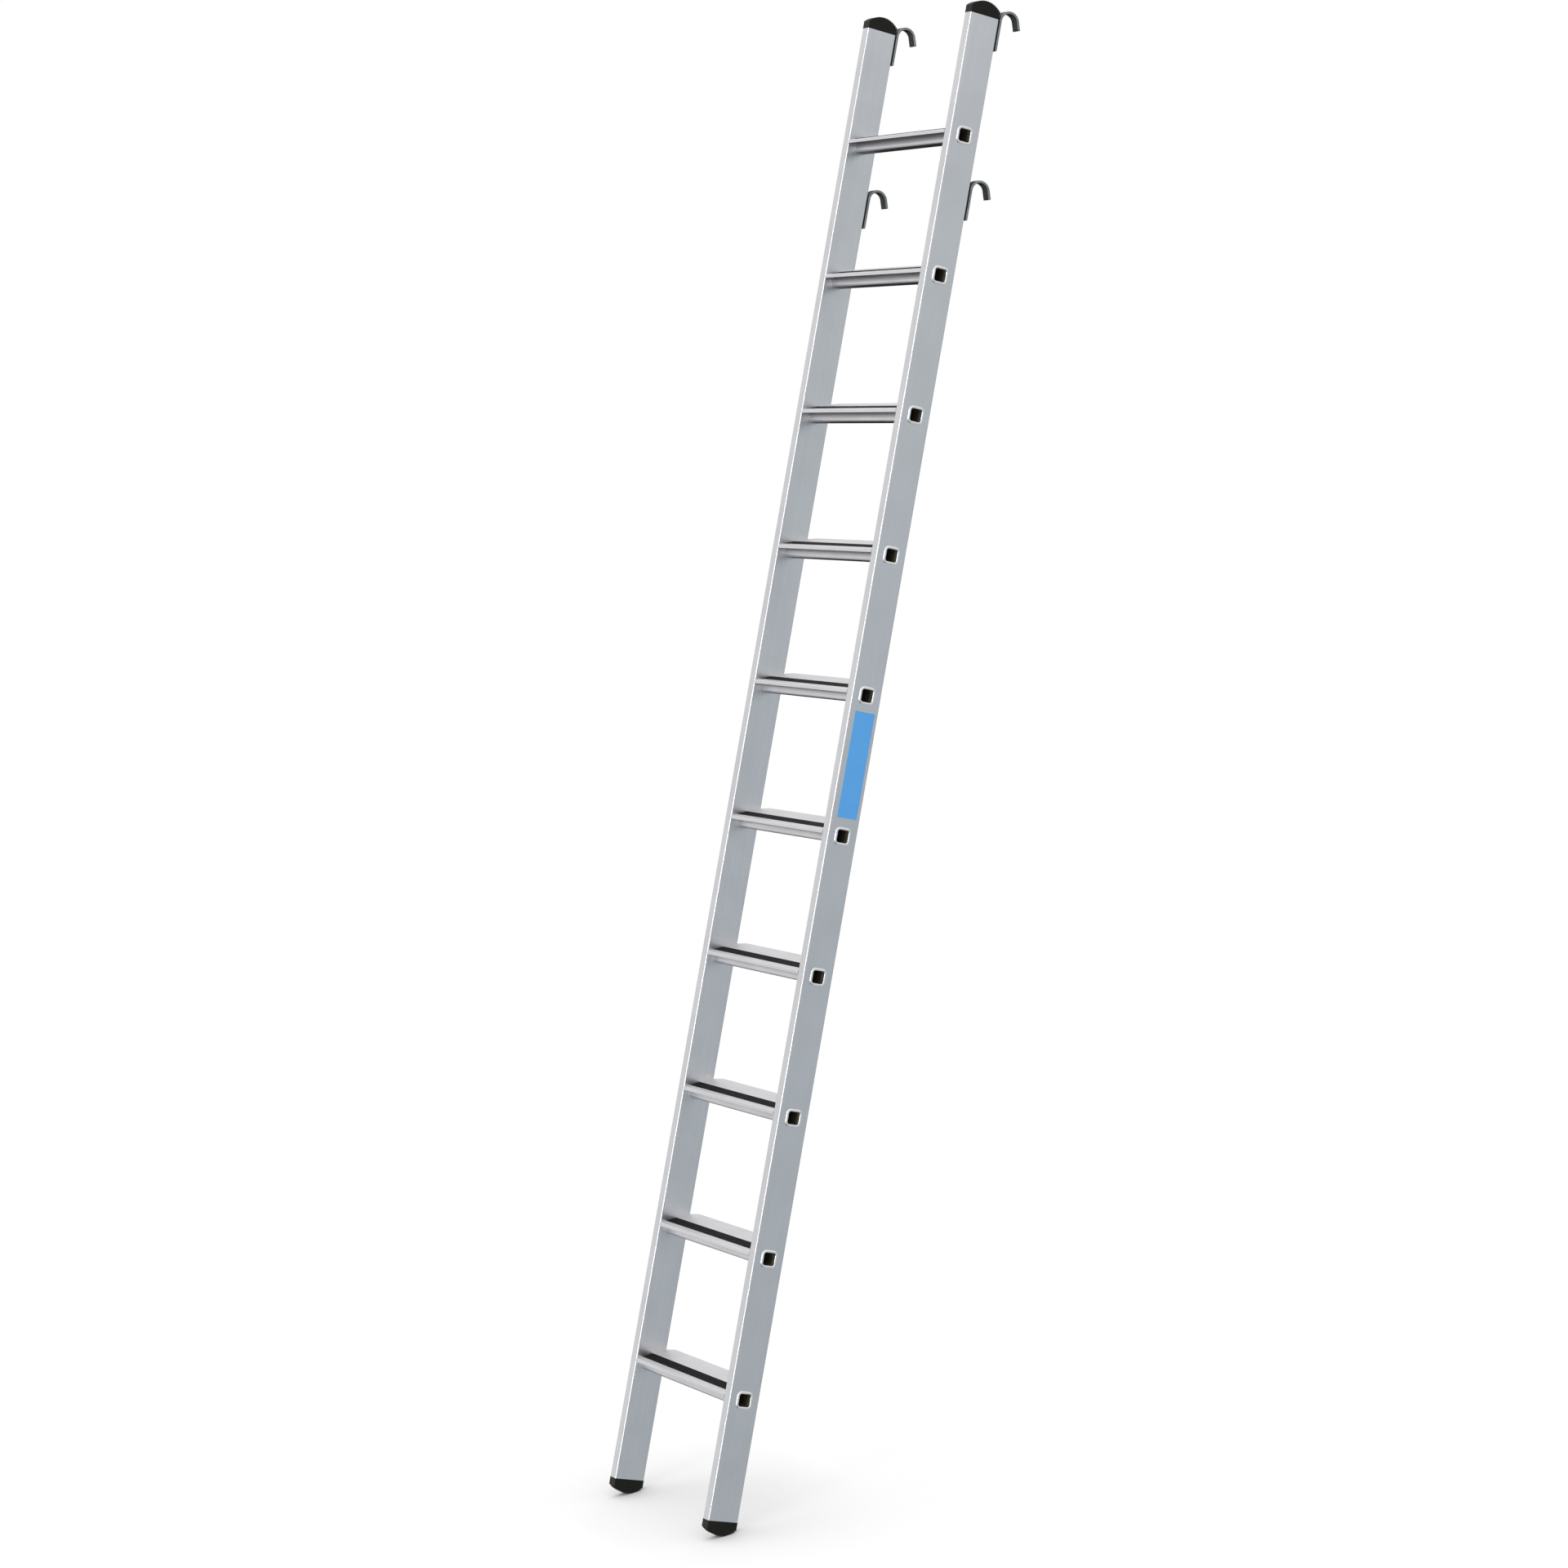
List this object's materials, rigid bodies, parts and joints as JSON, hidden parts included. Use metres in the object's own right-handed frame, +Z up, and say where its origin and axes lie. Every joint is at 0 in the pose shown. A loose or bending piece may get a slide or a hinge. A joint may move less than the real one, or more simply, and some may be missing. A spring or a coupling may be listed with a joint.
{
  "type": "shelf ladder",
  "caption": "Leaning aluminium shelf ladder with flat treads crimped through hollow stiles, black grip strips, ribbed end caps and steel hooks that hang on round shelf rails.",
  "frame": {"origin": "on the floor, midway between the two feet, on the line where the foot domes touch it", "axes": "+Z up, +X to the right stile as a climber faces the ladder, +Y from the climber towards the rails; the ladder leans 20 degrees back from upright"},
  "size_m": [0.4168, 1.1416, 2.8793],
  "materials": {
    "stile_aluminium": "brushed, mill finish",
    "tread_aluminium": "satin, mill finish",
    "strip_rubber": "matt, ribbed",
    "cap_plastic": "matt, fine moulded",
    "hook_steel": "dull galvanised",
    "packing_rubber": "matt",
    "rivet_steel": "dull zinc"
  },
  "bodies": {
    "root": {"stile_left": "stile_aluminium", "foot_cap_left": "cap_plastic", "head_cap_left": "cap_plastic", "upper_hook_left": "hook_steel", "upper_hook_packing_left": "packing_rubber", "lower_hook_left": "hook_steel", "lower_hook_packing_left": "packing_rubber", "stile_right": "stile_aluminium", "foot_cap_right": "cap_plastic", "head_cap_right": "cap_plastic", "upper_hook_right": "hook_steel", "upper_hook_packing_right": "packing_rubber", "lower_hook_right": "hook_steel", "lower_hook_packing_right": "packing_rubber", "tread_01": "tread_aluminium", "grip_strip_01": "strip_rubber", "tread_02": "tread_aluminium", "grip_strip_02": "strip_rubber", "tread_03": "tread_aluminium", "grip_strip_03": "strip_rubber", "tread_04": "tread_aluminium", "grip_strip_04": "strip_rubber", "tread_05": "tread_aluminium", "grip_strip_05": "strip_rubber", "tread_06": "tread_aluminium", "grip_strip_06": "strip_rubber", "tread_07": "tread_aluminium", "grip_strip_07": "strip_rubber", "tread_08": "tread_aluminium", "grip_strip_08": "strip_rubber", "tread_09": "tread_aluminium", "grip_strip_09": "strip_rubber", "tread_10": "tread_aluminium", "grip_strip_10": "strip_rubber", "hook_rivets": "rivet_steel"}
  },
  "joints": []
}
